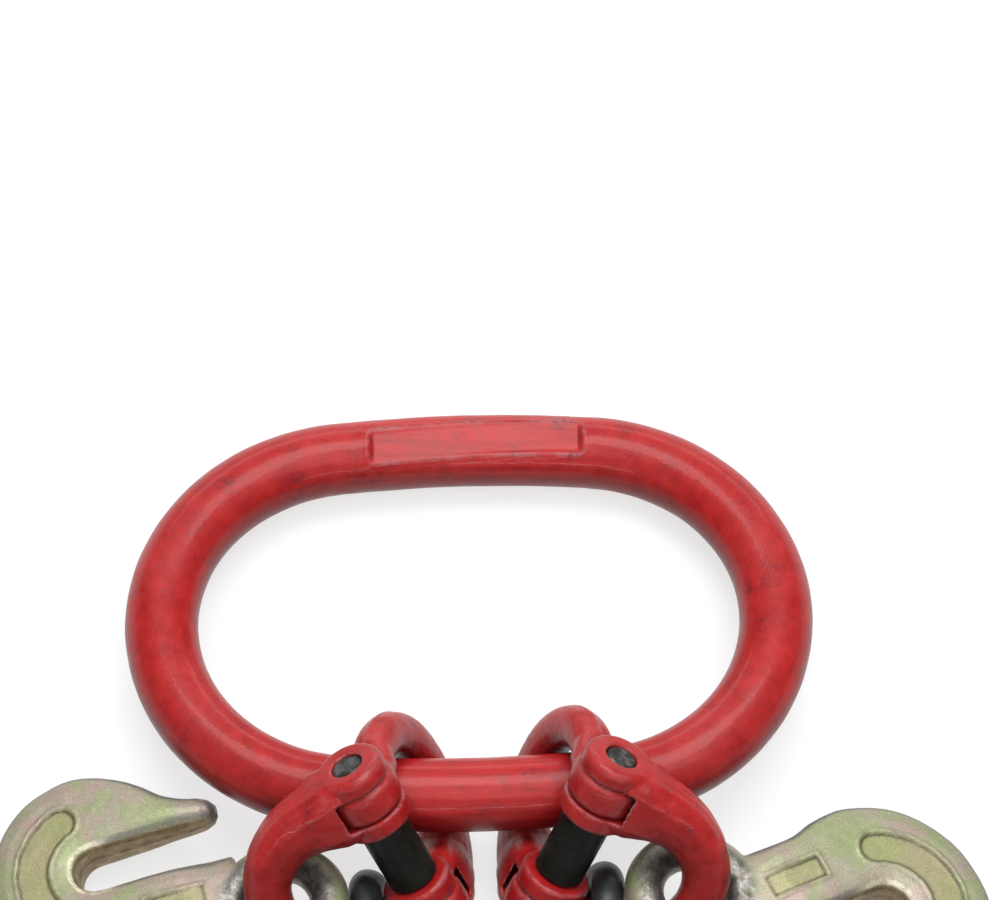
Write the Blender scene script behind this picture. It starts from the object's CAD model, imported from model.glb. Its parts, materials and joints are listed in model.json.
import json
import math

import bpy
import numpy as np
from mathutils import Euler, Matrix, Vector


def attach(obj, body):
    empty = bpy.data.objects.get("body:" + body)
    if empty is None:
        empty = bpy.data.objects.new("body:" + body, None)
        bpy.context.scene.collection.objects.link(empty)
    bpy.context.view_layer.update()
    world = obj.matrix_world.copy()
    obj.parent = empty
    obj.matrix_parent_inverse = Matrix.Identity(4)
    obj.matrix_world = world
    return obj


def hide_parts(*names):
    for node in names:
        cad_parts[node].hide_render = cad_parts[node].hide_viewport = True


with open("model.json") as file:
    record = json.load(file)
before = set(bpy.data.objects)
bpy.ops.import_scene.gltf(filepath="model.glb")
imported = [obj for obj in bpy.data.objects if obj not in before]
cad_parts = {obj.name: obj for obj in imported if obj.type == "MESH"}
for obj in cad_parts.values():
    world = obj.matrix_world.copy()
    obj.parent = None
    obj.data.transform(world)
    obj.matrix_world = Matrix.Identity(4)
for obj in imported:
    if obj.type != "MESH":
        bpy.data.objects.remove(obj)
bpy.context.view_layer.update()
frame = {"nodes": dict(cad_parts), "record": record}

MM = 0.001


# Frames in which the forgings are shaped, in millimetres, at the places that the solids have.
# They are given for the left side. SIDE carries them to either side.
def place(rotation, origin):
    m = rotation.to_4x4()
    m.translation = origin
    return m


def turned(roll, pitch, heading):
    """A turn by so many degrees about X, then Y, then Z."""
    return (Matrix.Rotation(math.radians(heading), 3, "Z")
            @ Matrix.Rotation(math.radians(pitch), 3, "Y")
            @ Matrix.Rotation(math.radians(roll), 3, "X"))


def from_axes(x, y, origin):
    return place(Matrix((x, y, x.cross(y))).transposed(), origin)


# The right side is the left one's mirror image, turned and shifted a little, as the photo shows
HOME = Vector((-23.5, 345.8, 0.2))
RIGHT_SHIFT = Vector((5.2, 0.6, 0))
RIGHT_TURN = math.radians(3.4)
MIRROR = Matrix.Scale(-1, 4, (1, 0, 0))
SIDE = [Matrix.Translation(HOME),
        Matrix.Translation(HOME + RIGHT_SHIFT) @ Matrix.Rotation(RIGHT_TURN, 4, "Z") @ MIRROR]

# Master link: it leans on the floor with its far bar and rests on the couplings with its near bar
RING_R = 11.1
RING_HALF_W = 61.1
RING_TILT = math.radians(8.85)
RING_TWIST = math.radians(1.9)
NEAR_BAR_Y = -57.8
RING = place(Matrix.Rotation(-RING_TILT, 3, "X") @ Matrix.Rotation(RING_TWIST, 3, "Z"),
             Vector((0, RING_HALF_W * math.cos(RING_TILT) + NEAR_BAR_Y,
                     RING_HALF_W * math.sin(RING_TILT) + RING_R)))

# Coupling link and grab hook at the head
HANG_X = -23.7
HANG_WAY, HANG_REACH = Vector((0.032, -0.928, 0.371)), 20.75
PIN_AT = RING @ Vector((HANG_X, -RING_HALF_W, 0)) + HANG_WAY * HANG_REACH
PIN_PITCH, PIN_HEADING = -50.7, 132.1
HOOK_ROLL, RING_ROLL = -21.4, -135.7
HOOK_HALF = place(turned(HOOK_ROLL, PIN_PITCH, PIN_HEADING), PIN_AT)
RING_HALF = place(turned(RING_ROLL, PIN_PITCH, PIN_HEADING) @ Matrix.Rotation(math.pi, 3, "Y"), PIN_AT)
GRAB_AT = HOOK_HALF @ Vector((0, 38.9, -1.0))
GRAB = [place(turned(1.8, 13.5, 160.5), GRAB_AT), place(turned(189.1, 10.8, 189.9), GRAB_AT)]

# Coupling link and J hook at the end of the leg
LEG_HEADING = -112
END_PIN_AT = Vector((-126.31, -408.50, 35.41))
J_AT, J_PITCH = Vector((-128.46, -450.86, 25.35)), 2.916
END_RISE, CHAIN_DROOP, HOOK_DROOP = (math.radians(a) for a in (49, 48, 27))
leg_turn = math.radians(LEG_HEADING)
LEG = Vector((math.cos(leg_turn), math.sin(leg_turn), 0))
ASIDE = Vector((-math.sin(leg_turn), math.cos(leg_turn), 0))
END_AXIS = math.cos(END_RISE) * ASIDE + Vector((0, 0, math.sin(END_RISE)))
END_FALL = math.sin(END_RISE) * ASIDE - Vector((0, 0, math.cos(END_RISE)))
CHAIN_HALF = from_axes(
    END_AXIS, math.sin(CHAIN_DROOP) * END_FALL - math.cos(CHAIN_DROOP) * LEG, END_PIN_AT)
END_HALF = from_axes(
    -END_AXIS, math.sin(HOOK_DROOP) * END_FALL + math.cos(HOOK_DROOP) * LEG, END_PIN_AT)
J_HOOK = place(turned(180, J_PITCH, LEG_HEADING), J_AT)


# Shader helpers
def new_material(name):
    mat = bpy.data.materials.new(name)
    mat.use_nodes = True
    tree = mat.node_tree
    tree.nodes.clear()
    out = tree.nodes.new("ShaderNodeOutputMaterial")
    shader = tree.nodes.new("ShaderNodeBsdfPrincipled")
    tree.links.new(shader.outputs["BSDF"], out.inputs["Surface"])
    return mat, tree, shader


def coordinates(tree):
    return tree.nodes.new("ShaderNodeTexCoord").outputs["Object"]


def noise(tree, vector, scale, detail, rough, stretch=None):
    if stretch:
        m = tree.nodes.new("ShaderNodeMapping")
        m.inputs["Scale"].default_value = stretch
        tree.links.new(vector, m.inputs["Vector"])
        vector = m.outputs["Vector"]
    n = tree.nodes.new("ShaderNodeTexNoise")
    n.inputs["Scale"].default_value = scale
    n.inputs["Detail"].default_value = detail
    n.inputs["Roughness"].default_value = rough
    tree.links.new(vector, n.inputs["Vector"])
    return n.outputs["Fac"]


def ramp(tree, value, *stops):
    """Each stop is a place and a colour."""
    r = tree.nodes.new("ShaderNodeValToRGB")
    while len(r.color_ramp.elements) < len(stops):
        r.color_ramp.elements.new(0.5)
    for element, (at, colour) in zip(r.color_ramp.elements, stops):
        element.position = at
        element.color = (*colour, 1.0)
    tree.links.new(value, r.inputs["Fac"])
    return r.outputs["Color"]


def levels(tree, value, *stops):
    """Each stop is a place and a level of grey."""
    return ramp(tree, value, *((at, (level, level, level)) for at, level in stops))


def feed(tree, value, socket):
    """Links a socket, or sets a number or colour that is the same all over."""
    if isinstance(value, bpy.types.NodeSocket):
        tree.links.new(value, socket)
    elif isinstance(value, tuple):
        socket.default_value = (*value, 1.0)
    else:
        socket.default_value = value


def mix(tree, factor, a, b, mode="MIX"):
    m = tree.nodes.new("ShaderNodeMix")
    m.data_type = "RGBA"
    m.blend_type = mode
    for slot, value in ((0, factor), (6, a), (7, b)):
        feed(tree, value, m.inputs[slot])
    return m.outputs[2]


def maths(tree, op, *values):
    m = tree.nodes.new("ShaderNodeMath")
    m.operation = op
    for socket, value in zip(m.inputs, values):
        feed(tree, value, socket)
    return m.outputs[0]


def times(tree, a, b):
    return maths(tree, "MULTIPLY", a, b)


def bump(tree, shader, *heights):
    """Stacks bumps, each a height socket, a strength and a distance in metres."""
    last = None
    for height, strength, distance in heights:
        b = tree.nodes.new("ShaderNodeBump")
        b.inputs["Strength"].default_value = strength
        b.inputs["Distance"].default_value = distance
        tree.links.new(height, b.inputs["Height"])
        if last is not None:
            tree.links.new(last, b.inputs["Normal"])
        last = b.outputs["Normal"]
    tree.links.new(last, shader.inputs["Normal"])


def pointiness(tree):
    """Over a half on outer edges, under a half in creases."""
    return tree.nodes.new("ShaderNodeNewGeometry").outputs["Pointiness"]


def edges(tree, low, high):
    return levels(tree, pointiness(tree), (low, 0), (high, 1))


def creases(tree, deep, shallow):
    return levels(tree, pointiness(tree), (deep, 1), (shallow, 0))


def marked(tree, name):
    """A mask that the mesh carries point by point."""
    a = tree.nodes.new("ShaderNodeAttribute")
    a.attribute_name = name
    return a.outputs["Fac"]


def red_paint(name):
    """Glossy paint with brush marks, dust, worn edges, chips and stains."""
    mat, tree, shader = new_material(name)
    at = coordinates(tree)
    broad = noise(tree, at, 34, 3, 0.5)
    mottled = noise(tree, at, 170, 5, 0.65)
    fine = noise(tree, at, 1500, 4, 0.6)
    specks = noise(tree, at, 620, 6, 0.75)
    scuffs = noise(tree, at, 95, 6, 0.7)
    runs = noise(tree, at, 60, 2, 0.5)
    brushed = noise(tree, at, 480, 4, 0.6, stretch=(0.05, 1, 1))
    colour = ramp(tree, mottled,
                  (0.30, (0.25, 0.0055, 0.0060)), (0.52, (0.33, 0.0085, 0.0085)),
                  (0.75, (0.40, 0.0145, 0.0140)))
    drawn = times(tree, marked(tree, "bar"), levels(tree, brushed, (0.42, 0), (0.62, 0.45)))
    colour = mix(tree, drawn, colour, (0.50, 0.020, 0.019))
    dust = times(tree, levels(tree, broad, (0.42, 0), (0.70, 0.40)),
                 levels(tree, specks, (0.35, 0.25), (0.65, 1)))
    colour = mix(tree, dust, colour, (0.40, 0.044, 0.045))
    rubbed = times(tree, edges(tree, 0.507, 0.540), levels(tree, scuffs, (0.43, 0.10), (0.57, 0.95)))
    colour = mix(tree, rubbed, colour, (0.33, 0.115, 0.125))
    chips = times(tree, edges(tree, 0.505, 0.545), levels(tree, specks, (0.52, 0), (0.60, 0.9)))
    colour = mix(tree, chips, colour, (0.040, 0.012, 0.020))
    colour = mix(tree, times(tree, creases(tree, 0.445, 0.492), 0.85), colour, (0.050, 0.0035, 0.005))
    stains = times(tree, levels(tree, scuffs, (0.56, 0), (0.68, 0.75)),
                   levels(tree, specks, (0.42, 0), (0.60, 1)))
    colour = mix(tree, stains, colour, (0.070, 0.010, 0.020))
    faded = levels(tree, marked(tree, "top"), (0.30, 0.40), (0.52, 0.56), (0.76, 0.96), (1.0, 1.0))
    colour = mix(tree, 1.0, colour, faded, "MULTIPLY")
    tree.links.new(colour, shader.inputs["Base Color"])
    tree.links.new(levels(tree, mottled, (0.3, 0.26), (0.7, 0.44)), shader.inputs["Roughness"])
    shader.inputs["Specular IOR Level"].default_value = 0.20
    shader.inputs["Coat Weight"].default_value = 0.14
    shader.inputs["Coat Roughness"].default_value = 0.12
    bump(tree, shader, (runs, 0.18, 0.0010), (mottled, 0.24, 0.0005), (specks, 0.16, 0.00035),
         (fine, 0.45, 0.00022))
    return mat


def matte_black(name):
    """The sleeves' dull black with a few grey scuffs."""
    mat, tree, shader = new_material(name)
    at = coordinates(tree)
    fine = noise(tree, at, 1300, 5, 0.65)
    cloudy = noise(tree, at, 150, 4, 0.6)
    scuffs = noise(tree, at, 260, 6, 0.75)
    colour = ramp(tree, cloudy, (0.3, (0.0042, 0.0050, 0.0038)), (0.7, (0.0105, 0.0118, 0.0092)))
    colour = mix(tree, levels(tree, scuffs, (0.60, 0), (0.72, 0.6)), colour, (0.035, 0.035, 0.032))
    tree.links.new(colour, shader.inputs["Base Color"])
    tree.links.new(levels(tree, fine, (0.3, 0.32), (0.7, 0.50)), shader.inputs["Roughness"])
    shader.inputs["Specular IOR Level"].default_value = 0.14
    bump(tree, shader, (cloudy, 0.25, 0.0006), (fine, 0.35, 0.0002))
    return mat


def dark_steel(name):
    mat, tree, shader = new_material(name)
    at = coordinates(tree)
    fine = noise(tree, at, 1500, 5, 0.65)
    cloudy = noise(tree, at, 300, 4, 0.6)
    colour = ramp(tree, cloudy,
                  (0.34, (0.010, 0.010, 0.010)), (0.50, (0.034, 0.035, 0.034)),
                  (0.66, (0.105, 0.105, 0.100)))
    tree.links.new(colour, shader.inputs["Base Color"])
    tree.links.new(levels(tree, fine, (0.3, 0.34), (0.7, 0.55)), shader.inputs["Roughness"])
    shader.inputs["Metallic"].default_value = 0.5
    shader.inputs["Specular IOR Level"].default_value = 0.3
    bump(tree, shader, (cloudy, 0.4, 0.0005), (fine, 0.3, 0.0002))
    return mat


def chain_black(name):
    mat, tree, shader = new_material(name)
    at = coordinates(tree)
    fine = noise(tree, at, 1000, 5, 0.6)
    cloudy = noise(tree, at, 130, 4, 0.6)
    colour = ramp(tree, cloudy, (0.3, (0.016, 0.017, 0.018)), (0.7, (0.042, 0.044, 0.046)))
    colour = mix(tree, times(tree, edges(tree, 0.505, 0.55), 0.5), colour, (0.10, 0.10, 0.10))
    tree.links.new(colour, shader.inputs["Base Color"])
    tree.links.new(levels(tree, cloudy, (0.3, 0.30), (0.7, 0.48)), shader.inputs["Roughness"])
    shader.inputs["Metallic"].default_value = 0.4
    bump(tree, shader, (cloudy, 0.3, 0.0006), (fine, 0.2, 0.00015))
    return mat


def zinc(name):
    """Yellow zinc with pink and green clouds, brown walls, bright rims and a worn steel eye."""
    mat, tree, shader = new_material(name)
    at = coordinates(tree)
    broad = noise(tree, at, 38, 3, 0.5)
    drift = noise(tree, at, 75, 4, 0.6)
    grain = noise(tree, at, 1500, 4, 0.65)
    speckle = noise(tree, at, 3200, 2, 0.5)
    stain = noise(tree, at, 210, 5, 0.7)
    colour = ramp(tree, broad,
                  (0.34, (0.26, 0.275, 0.150)), (0.44, (0.285, 0.265, 0.185)),
                  (0.50, (0.29, 0.27, 0.20)), (0.56, (0.335, 0.245, 0.215)),
                  (0.66, (0.27, 0.275, 0.175)))
    green_drift = levels(tree, drift, (0.48, 0), (0.60, 0.75))
    colour = mix(tree, green_drift, colour, (0.235, 0.285, 0.125))
    pink_drift = levels(tree, drift, (0.38, 0.60), (0.47, 0))
    colour = mix(tree, pink_drift, colour, (0.325, 0.235, 0.205))
    colour = mix(tree, levels(tree, grain, (0.56, 0), (0.66, 0.40)), colour, (0.22, 0.28, 0.11))
    colour = mix(tree, levels(tree, grain, (0.34, 0.45), (0.44, 0)), colour, (0.36, 0.265, 0.235))
    colour = mix(tree, times(tree, marked(tree, "pad"), 0.6), colour, (0.270, 0.265, 0.100))
    gilt = ramp(tree, stain, (0.40, (0.112, 0.105, 0.042)), (0.60, (0.364, 0.35, 0.21)))
    colour = mix(tree, times(tree, marked(tree, "rim"), 0.55), colour, gilt)
    side = marked(tree, "side")
    brown = ramp(tree, stain,
                 (0.36, (0.185, 0.130, 0.070)), (0.50, (0.250, 0.185, 0.100)),
                 (0.62, (0.33, 0.262, 0.155)))
    colour = mix(tree, side, colour, brown)
    eye = marked(tree, "eye")
    worn = ramp(tree, stain,
                (0.34, (0.091, 0.077, 0.056)), (0.50, (0.189, 0.182, 0.161)),
                (0.66, (0.35, 0.343, 0.322)))
    colour = mix(tree, eye, colour, worn)
    glint = times(tree, marked(tree, "glint"), levels(tree, stain, (0.42, 0.15), (0.56, 1.0)))
    colour = mix(tree, glint, colour, (0.66, 0.61, 0.46))
    lip = times(tree, marked(tree, "lip"), levels(tree, stain, (0.30, 0.55), (0.55, 1.0)))
    colour = mix(tree, lip, colour, (0.0805, 0.084, 0.0945))
    peppered = levels(tree, speckle, (0.30, 0.66), (0.50, 0.98), (0.68, 1.20))
    colour = mix(tree, 1.0, colour, peppered, "MULTIPLY")
    colour = mix(tree, times(tree, creases(tree, 0.462, 0.494), 0.85), colour, (0.05, 0.038, 0.02))
    tree.links.new(colour, shader.inputs["Base Color"])
    metal = maths(tree, "MAXIMUM", levels(tree, side, (0, 0.30), (1, 0.65)),
                  levels(tree, eye, (0, 0), (1, 0.85)))
    tree.links.new(metal, shader.inputs["Metallic"])
    tree.links.new(levels(tree, grain, (0.3, 0.34), (0.7, 0.48)), shader.inputs["Roughness"])
    bump(tree, shader, (stain, 0.25, 0.0005), (grain, 0.35, 0.00025), (speckle, 0.30, 0.00012))
    return mat


MATERIALS = {
    "red_paint": red_paint("red_paint"),
    "black_paint": matte_black("black_paint"),
    "pin_steel": dark_steel("pin_steel"),
    "spring_steel": dark_steel("spring_steel"),
    "chain_finish": chain_black("chain_finish"),
    "zinc_dichromate": zinc("zinc_dichromate"),
    "bare_forging": zinc("bare_forging"),
}
slot_of = {s["node"]: s["material_slot"] for s in frame["record"]["subparts"]}
body_of = {n: b for b, ns in frame["record"]["behaviour"]["bodies"].items() for n in ns}


def dress(obj, material):
    obj.data.materials.clear()
    obj.data.materials.append(material)


# Shape helpers. Points and normals are rows, in the piece's own frame, in millimetres.
def smooth_step(a, b, x):
    t = np.clip((x - a) / (b - a), 0, 1)
    return t * t * (3 - 2 * t)


def fade(a, b, x):
    return 1 - smooth_step(a, b, x)


def crest(x, width):
    """One at x = 0, dying away on both sides."""
    return np.exp(-(x / width) ** 2)


def lumps(p, size, seed):
    """Soft unevenness about as large as size, from crossing waves, mostly within one either way."""
    rng = np.random.default_rng(seed)
    out = np.zeros(len(p))
    for _ in range(8):
        d = rng.normal(size=3)
        turns = p @ (d / np.linalg.norm(d)) * 2 * math.pi / size
        out += np.sin(turns * rng.uniform(0.7, 1.5) + rng.uniform(0, 6.3))
    return out / 3


def forged_skin(p, seed, coarse=12, fine=4):
    return 0.04 * lumps(p, coarse, seed) + 0.02 * lumps(p, fine, seed + 1)


def rounded_bend(x, y, centre, step):
    """How far points outside a bend made of straight pieces, step degrees each, move out to lie on arcs."""
    dx, dy = x - centre[0], y - centre[1]
    a = np.degrees(np.arctan2(dy, dx)) % step - step / 2
    grow = np.cos(np.radians(a)) / math.cos(math.radians(step / 2)) - 1
    return np.stack([dx * grow, dy * grow, 0 * dx], 1)


TOP_LIGHT = np.array((0, 0.3, 0.954))


def refined(node, voxel, smooth, shape, local=SIDE[0]):
    """Replaces a CAD node by a smooth copy, finely remeshed and relaxed, then shaped in the frame local.
    shape takes points and normals and gives how far each point moves, and masks for the material."""
    obj = bpy.data.objects.new(node + "_forging", frame["nodes"][node].data.copy())
    bpy.context.scene.collection.objects.link(obj)
    skin = obj.modifiers.new("skin", "REMESH")
    skin.mode = "VOXEL"
    skin.voxel_size = voxel * MM
    relax = obj.modifiers.new("relax", "SMOOTH")
    relax.factor = 0.5
    relax.iterations = smooth
    mesh = bpy.data.meshes.new_from_object(obj.evaluated_get(bpy.context.evaluated_depsgraph_get()))
    obj.modifiers.clear()
    obj.data = mesh
    count = len(mesh.vertices)
    co, normal = np.empty(count * 3, np.float32), np.empty(count * 3, np.float32)
    mesh.vertices.foreach_get("co", co)
    mesh.vertices.foreach_get("normal", normal)
    co, normal = co.reshape(-1, 3).astype(float), normal.reshape(-1, 3).astype(float)
    back = np.array(local.inverted())
    turn, shift = back[:3, :3], back[:3, 3]
    p = (co / MM) @ turn.T + shift
    move, masks = shape(p, normal @ turn.T)
    masks["top"] = 0.5 + 0.5 * normal @ TOP_LIGHT
    mesh.vertices.foreach_set("co", (co + (move @ turn) * MM).astype(np.float32).ravel())
    for name, values in masks.items():
        mask = mesh.attributes.new(name, "FLOAT", "POINT")
        mask.data.foreach_set("value", values.astype(np.float32))
    mesh.polygons.foreach_set("use_smooth", np.ones(len(mesh.polygons), bool))
    mesh.update()
    dress(obj, MATERIALS[slot_of[node]])
    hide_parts(node)
    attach(obj, body_of[node])


# Coupling half: the pin lies along X, the tang's arm at -ARM_X, the fork's at ARM_X, the bow beyond BOW_Y
ARM_X, BOW_Y, LUG_R = 23.1, 17.4, 10.6
SLOT_IN, SLOT_OUT, SLOT_R = 17.8, 28.4, 12.4
SLOT_EDGE, SLOT_RUN, POCKET = 1.2, 9, 2.4
TANG_HALF = 5
BEND_STEP = 15


def forged_half(seed, ridge=0.12, flash=0.0, rounding=1.0):
    """A parting ridge round the outside, flash on it, a pocket behind the tang and a rounded tang."""
    def shape(p, n):
        x, y, z = p.T
        across = np.where(y > BOW_Y, np.hypot(x, y - BOW_Y), np.abs(x)) - ARM_X
        outer = smooth_step(1.5, 4, across) * smooth_step(LUG_R + 1, LUG_R + 5, y)
        rough = np.clip(lumps(p, 2.4, seed + 2), 0, 1.4) * smooth_step(-20, -4, x)
        swell = forged_skin(p, seed) + ridge * crest(z, 0.9) * outer
        move = n * (swell + flash * crest(z, 2.2) * outer * rough)[:, None]
        bend = smooth_step(BOW_Y, BOW_Y + 1.5, y)[:, None]
        move += rounding * rounded_bend(x, y, (0, BOW_Y), BEND_STEP) * bend
        slot = smooth_step(SLOT_IN - SLOT_EDGE, SLOT_IN, x) * fade(SLOT_OUT, SLOT_OUT + SLOT_EDGE, x)
        deep = smooth_step(8.5, SLOT_R - 0.6, y) * fade(SLOT_R + 0.2, SLOT_R + SLOT_RUN, y)
        move[:, 1] += POCKET * slot * deep
        from_pin = np.hypot(y, z)
        u = (x + ARM_X) / TANG_HALF
        lug = smooth_step(9.6, 10.4, from_pin) * fade(10.9, 11.6, from_pin) * (np.abs(u) < 1.05)
        outwards = p[:, 1:] / np.maximum(from_pin, 1)[:, None]
        move[:, 1:] += outwards * (lug * (0.45 - 1.5 * u ** 4))[:, None]
        return move, {}
    return shape


# Master link: half-circle ends about END_X, and bars that bow outwards a little
END_X, END_R, BAR_FAR, BAR_R = 33.35, 59.5, 346.8, 407.9
PANEL_X, PANEL_HALF_L, PANEL_CORNER = 4, 33, 2.5
PANEL_TURN, PANEL_HALF_TURN, PANEL_TWIST = 12, 30.6, 0.16
PANEL_FLAT, PANEL_RIM = 9.55, 0.2
MM_PER_DEGREE = 0.19


def forged_ring(p, n):
    """Even wire, with the size panel turned towards the front and its outline raised a little."""
    x, y, z = p.T
    bar = np.sqrt(BAR_R ** 2 - x * x) - BAR_FAR
    end = np.sqrt(np.maximum(END_R ** 2 - (np.abs(x) - END_X) ** 2, 1))
    dy = y - np.where(np.abs(x) < END_X, bar, end)
    d = np.maximum(np.hypot(dy, z), 1)
    tilt = np.degrees(np.arctan2(-dy, z))
    off = tilt - PANEL_TURN + PANEL_TWIST * (x - PANEL_X)
    flat = np.minimum(PANEL_FLAT / np.cos(np.radians(np.clip(off, -60, 60))), RING_R)
    u = np.abs(x - PANEL_X) - PANEL_HALF_L
    v = (np.abs(off) - PANEL_HALF_TURN) * MM_PER_DEGREE
    outline = np.hypot(np.maximum(u + PANEL_CORNER, 0), np.maximum(v + PANEL_CORNER, 0)) - PANEL_CORNER
    target = RING_R - (RING_R - flat) * fade(-1.4, 0.1, outline) + PANEL_RIM * crest(outline - 0.4, 0.6)
    near = (y > 0) * fade(39, 43, np.abs(x)) * fade(52, 70, np.abs(tilt - 8))
    move = n * forged_skin(p, 11, 30, 9)[:, None]
    move[:, 1:] += np.stack([dy / d, z / d], 1) * ((target - d) * near)[:, None]
    return move, {"bar": fade(30, 62, np.abs(x))}


# Grab hook: the eye is at the origin, and the slot ends in a bowl about BOWL, turned by SLOT_TURN.
# Going round the bowl from the shank to the tip, the bar is WIDTH wide at each STATION.
BOWL = np.array((57, 4.2))
BOWL_R, SLOT_TURN = 6.5, math.radians(33)
SHANK, TIP = (-23, -15, -7), np.array((8, 14, 19, 23.5, 28.5, 33.5))
SHANK_W, TIP_W = (25.6, 25.6, 27.6), (23.5, 20.4, 16.7, 13, 10.4, 8.9)
BEND_AT = [-57, -28, 3, 31, 62, 90, 123]
BEND_W = [25.8, 27, 26.6, 25.7, 26, 27.2, 28.2]
BEND_R = 33.0
BEND_TURN = np.radians(np.linspace(123, -57, 11))
BEND_END = math.pi * BEND_R
STATION = np.concatenate([SHANK, (BEND_TURN[0] - BEND_TURN) * BEND_R, BEND_END + TIP])
WIDTH = np.concatenate([SHANK_W, np.interp(np.degrees(BEND_TURN), BEND_AT, BEND_W), TIP_W])

# Its recesses: a curved one round the bowl and a straight one on the shank
PAD_IN, PAD_OUT = BOWL_R + 7.5, BOWL_R + 17.2
PAD_FROM, PAD_TO = -33, 105
FLAT_T, FLAT_C, FLAT_HALF_L, FLAT_HALF_W = -21.3, BOWL_R + 12.7, 9, 3.6
PAD_DEPTH, RIM_HEIGHT, SEAM_HEIGHT = 0.3, 0.3, 0.22


def slot_axes(x, y):
    """Along the slot towards the bowl's end, and across it."""
    dx, dy = x - BOWL[0], y - BOWL[1]
    return (dx * math.cos(SLOT_TURN) + dy * math.sin(SLOT_TURN),
            dy * math.cos(SLOT_TURN) - dx * math.sin(SLOT_TURN))


def hook_outline(t, c):
    """Where a point of the grab hook lies along the bar, how far it is from the slot, how far the bar's
    outer edge has to move there so that it runs as one curve through the CAD's sections, and its width."""
    v = np.clip(SLOT_TURN + np.arctan2(c, t), BEND_TURN[-1], BEND_TURN[0])
    along = np.where(t > 0, (BEND_TURN[0] - v) * BEND_R, np.where(c > 0, t, BEND_END - t))
    depth = np.where(t > 0, np.hypot(t, c), np.abs(c)) - BOWL_R
    k = np.clip(np.searchsorted(STATION, along) - 1, 0, len(STATION) - 2)
    gap = STATION[k + 1] - STATION[k]
    u = np.clip((along - STATION[k]) / gap, 0, 1)
    slope = np.gradient(WIDTH, STATION)
    w0, w1 = WIDTH[k], WIDTH[k + 1]
    curve = (w0 * (1 + 2 * u) * (1 - u) ** 2 + w1 * u * u * (3 - 2 * u)
             + slope[k] * gap * u * (1 - u) ** 2 - slope[k + 1] * gap * u * u * (1 - u))
    r0, r1, step = w0 + BOWL_R, w1 + BOWL_R, gap / BEND_R
    chord = r0 * r1 * np.sin(step) / (r0 * np.sin(step * u) + r1 * np.sin(step * (1 - u))) - BOWL_R
    straight = np.where(t > 0, chord, w0 + (w1 - w0) * u)
    grow = np.where((along > STATION[0]) & (along < STATION[-1]), curve - straight, 0)
    return along, depth, grow, curve


def pad_outline(x, y, t, c):
    """How far a point is outside the nearer of the grab hook's recesses."""
    middle, half = (PAD_IN + PAD_OUT) / 2, (PAD_OUT - PAD_IN) / 2
    dx, dy = x - BOWL[0], y - BOWL[1]
    angle = np.degrees(np.arctan2(dy, dx))
    near = np.clip(angle, PAD_FROM, PAD_TO)
    end = np.hypot(dx - middle * np.cos(np.radians(near)), dy - middle * np.sin(np.radians(near)))
    curved = np.where(near == angle, np.abs(np.hypot(dx, dy) - middle), end) - half
    flat = np.maximum(np.abs(t - FLAT_T) - FLAT_HALF_L, np.abs(c - FLAT_C) - FLAT_HALF_W)
    return np.minimum(curved, flat)


def forged_grab(seed):
    """One smooth outline, recesses with soft rims and a parting seam, with masks for the zinc."""
    def shape(p, n):
        x, y, z = p.T
        t, c = slot_axes(x, y)
        along, depth, grow, width = hook_outline(t, c)
        facing = np.abs(n[:, 2])
        steep = 1 - facing
        eye = fade(16, 19.5, np.hypot(x, y))
        hook = smooth_step(19, 23, np.hypot(x, y))
        side = fade(0.35, 0.75, facing) * (1 - 0.6 * smooth_step(4, 8, depth)) * hook
        mouth = smooth_step(0.05, 0.15, steep) * fade(0.30, 0.50, steep) * fade(2.5, 5, depth) * hook
        throat = smooth_step(-9, 0, t)
        lip = smooth_step(0.06, 0.30, steep) * (1 - 0.75 * smooth_step(0.55, 0.85, steep))
        lip = lip * smooth_step(0.70, 0.86, depth / width) * hook
        tip = 0.85 * smooth_step(34, 37.5, along - BEND_END)
        lip = np.maximum(np.maximum(lip, tip), 0.6 * mouth * (1 - throat))
        outline = pad_outline(x, y, t, c)
        pad = fade(-0.5, 0.1, outline) * smooth_step(0.8, 0.93, facing)
        rim = crest(outline - 0.55, 0.5) * smooth_step(0.5, 0.9, facing) * hook
        seam = crest(z, 0.6) * smooth_step(0.5, 0.8, steep) * hook
        relief = SEAM_HEIGHT * seam + RIM_HEIGHT * rim - PAD_DEPTH * pad
        move = n * (forged_skin(p, seed) + relief)[:, None]
        share = np.clip(depth / width, 0, 1) * grow * hook
        from_bowl = np.stack([x - BOWL[0], y - BOWL[1]], 1)
        outwards = from_bowl / np.maximum(np.hypot(*from_bowl.T), 1)[:, None]
        sideways = np.sign(c)[:, None] * np.array((-math.sin(SLOT_TURN), math.cos(SLOT_TURN)))
        move[:, :2] += np.where(t[:, None] > 0, outwards, sideways) * share[:, None]
        return move, {"side": side, "pad": pad, "eye": eye, "rim": rim, "lip": lip, "glint": mouth * throat}
    return shape


J_CENTRE = (295.5, 45.5)


def forged_j(p, n):
    """A rounded bend and a parting seam."""
    x, y, z = p.T
    side = fade(0.35, 0.75, np.abs(n[:, 2]))
    move = n * (0.05 * lumps(p, 14, 31) + 0.15 * crest(z, 0.9) * side)[:, None]
    bend = smooth_step(J_CENTRE[0], J_CENTRE[0] + 2, x)[:, None]
    move += rounded_bend(x, y, J_CENTRE, BEND_STEP) * bend
    return move, {"side": 0.6 * side}


def welded_link(p, n):
    """The long axis runs from bend to bend, and the weld is half-way along one side."""
    q = p - p.mean(0)
    axes = np.linalg.eigh(q.T @ q)[1]
    along, across = q @ axes[:, 2], q @ axes[:, 1]
    weld = crest(along, 1.1) * smooth_step(0, 3, across)
    return n * (0.04 * lumps(p, 8, 41) + 0.3 * weld)[:, None], {}


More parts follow.
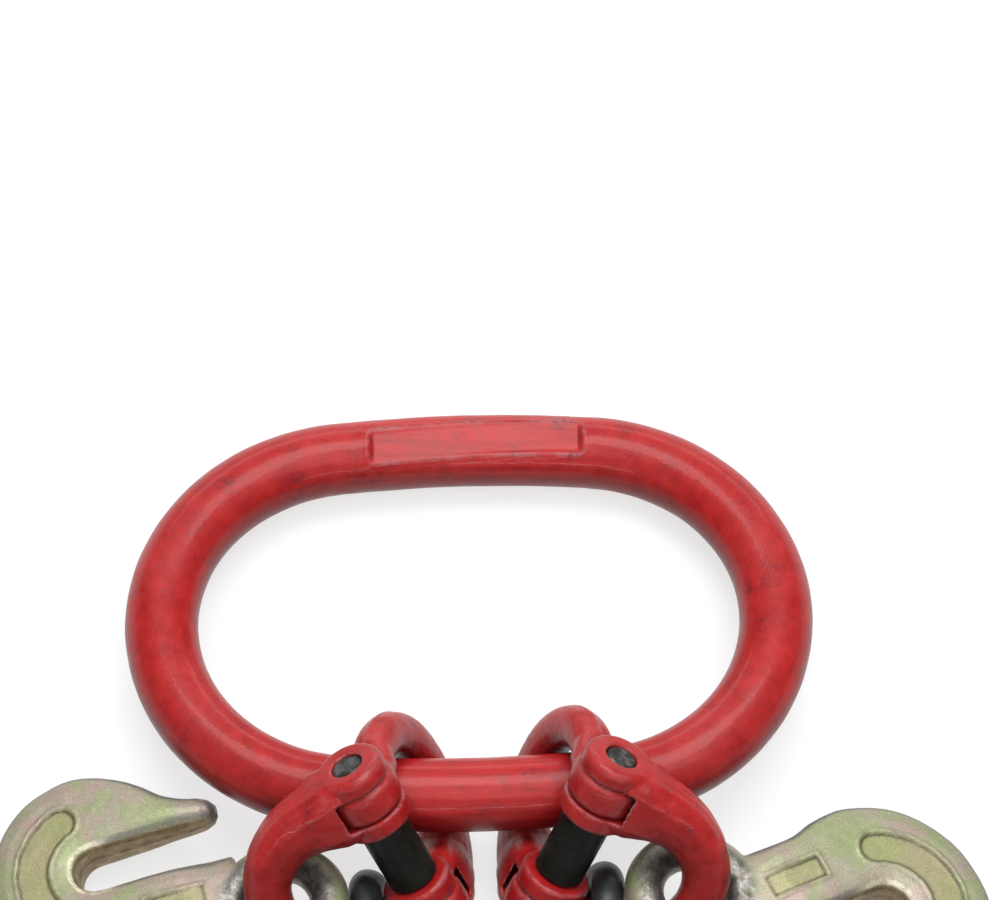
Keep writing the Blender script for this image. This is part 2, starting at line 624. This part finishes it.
for name, node in frame["nodes"].items():
    dress(node, MATERIALS[slot_of[name]])

# Voxel size in millimetres and rounds of smoothing, by the piece's size and finish
refined("master_link", 0.7, 4, forged_ring, SIDE[0] @ RING)
for s, side in enumerate(("left", "right")):
    flash = (1.0, 0.2)[s]
    refined(f"{side}_ring_half", 0.5, 10, forged_half(21 + 4 * s, 0.35, flash), SIDE[s] @ RING_HALF)
    refined(f"{side}_hook_half", 0.5, 10, forged_half(31 + 4 * s), SIDE[s] @ HOOK_HALF)
    refined(f"{side}_grab_hook", 0.5, 4, forged_grab(41 + s), SIDE[s] @ GRAB[s])
    # Rounded less, to clear the last link when it swings
    refined(f"{side}_end_chain_half", 0.6, 8, forged_half(51 + s, rounding=0.4), SIDE[s] @ CHAIN_HALF)
    refined(f"{side}_end_hook_half", 0.6, 8, forged_half(55 + s), SIDE[s] @ END_HALF)
    refined(f"{side}_j_hook", 0.9, 6, forged_j, SIDE[s] @ J_HOOK)
    for k in range(1, 12):
        refined(f"{side}_link_{k:02}", 0.6, 3, welded_link)

# Floor: pale and slightly bright by itself, so that it shows white with a faint shadow
bpy.ops.mesh.primitive_plane_add(size=12)
floor = bpy.context.object
floor.name = "floor"
mat, tree, shader = new_material("floor")
shader.inputs["Base Color"].default_value = (0.32, 0.32, 0.32, 1)
shader.inputs["Roughness"].default_value = 0.9
shader.inputs["Specular IOR Level"].default_value = 0.2
shader.inputs["Emission Color"].default_value = (1, 1, 1, 1)
shader.inputs["Emission Strength"].default_value = 0.66
dress(floor, mat)

# Surroundings: bright overhead, dim near the horizon and below it
world = bpy.data.worlds.new("studio")
bpy.context.scene.world = world
world.use_nodes = True
tree = world.node_tree
split = tree.nodes.new("ShaderNodeSeparateXYZ")
tree.links.new(tree.nodes.new("ShaderNodeTexCoord").outputs["Generated"], split.inputs[0])
height = maths(tree, "MULTIPLY_ADD", split.outputs["Z"], 0.5, 0.5)
sky = levels(tree, height, (0.45, 0.12), (0.58, 0.32), (0.80, 0.85), (1.0, 1.1))
tree.links.new(sky, tree.nodes["Background"].inputs["Color"])
tree.nodes["Background"].inputs["Strength"].default_value = 0.62


def softbox(name, at, aim, size, power):
    light = bpy.data.lights.new(name, "AREA")
    light.shape = "RECTANGLE"
    light.size, light.size_y = size
    light.energy = power
    obj = bpy.data.objects.new(name, light)
    bpy.context.scene.collection.objects.link(obj)
    obj.location = at
    obj.rotation_euler = (Vector(aim) - Vector(at)).to_track_quat("-Z", "Y").to_euler()


softbox("key", (0.05, 0.95, 1.7), (0, 0.3, 0), (1.5, 0.9), 27)
softbox("fill", (0.3, -0.1, 1.6), (0, 0.2, 0), (1.3, 0.9), 8)
softbox("front_strip", (-0.05, -1.0, 0.70), (0, 0.3, 0), (1.6, 0.05), 4)
softbox("back_strip", (0.0, 1.8, 0.45), (0, 0.3, 0), (1.8, 0.35), 7)

# Camera: the photo's view, fitted to the master link's outline, cut as the photo is
AIM = (HOME + Vector((0, 0, 20.61))) * MM
ELEVATION = 67.16
DISTANCE = 1.5
SENSOR = 36.0
LENS_PER_SENSOR = 4.966
tilt = math.radians(90 - ELEVATION)
camera = bpy.data.cameras.new("camera")
camera.sensor_fit = "HORIZONTAL"
camera.sensor_width = SENSOR
camera.lens = SENSOR * LENS_PER_SENSOR
camera.shift_x = 0.031
camera.shift_y = 0.177
camera.clip_start = 0.05
camera.clip_end = 20
cam = bpy.data.objects.new("camera", camera)
bpy.context.scene.collection.objects.link(cam)
cam.rotation_euler = Euler((tilt, 0, 0))
cam.location = AIM + DISTANCE * Vector((0, -math.sin(tilt), math.cos(tilt)))
bpy.context.scene.camera = cam
bpy.context.scene.view_settings.view_transform = "Standard"
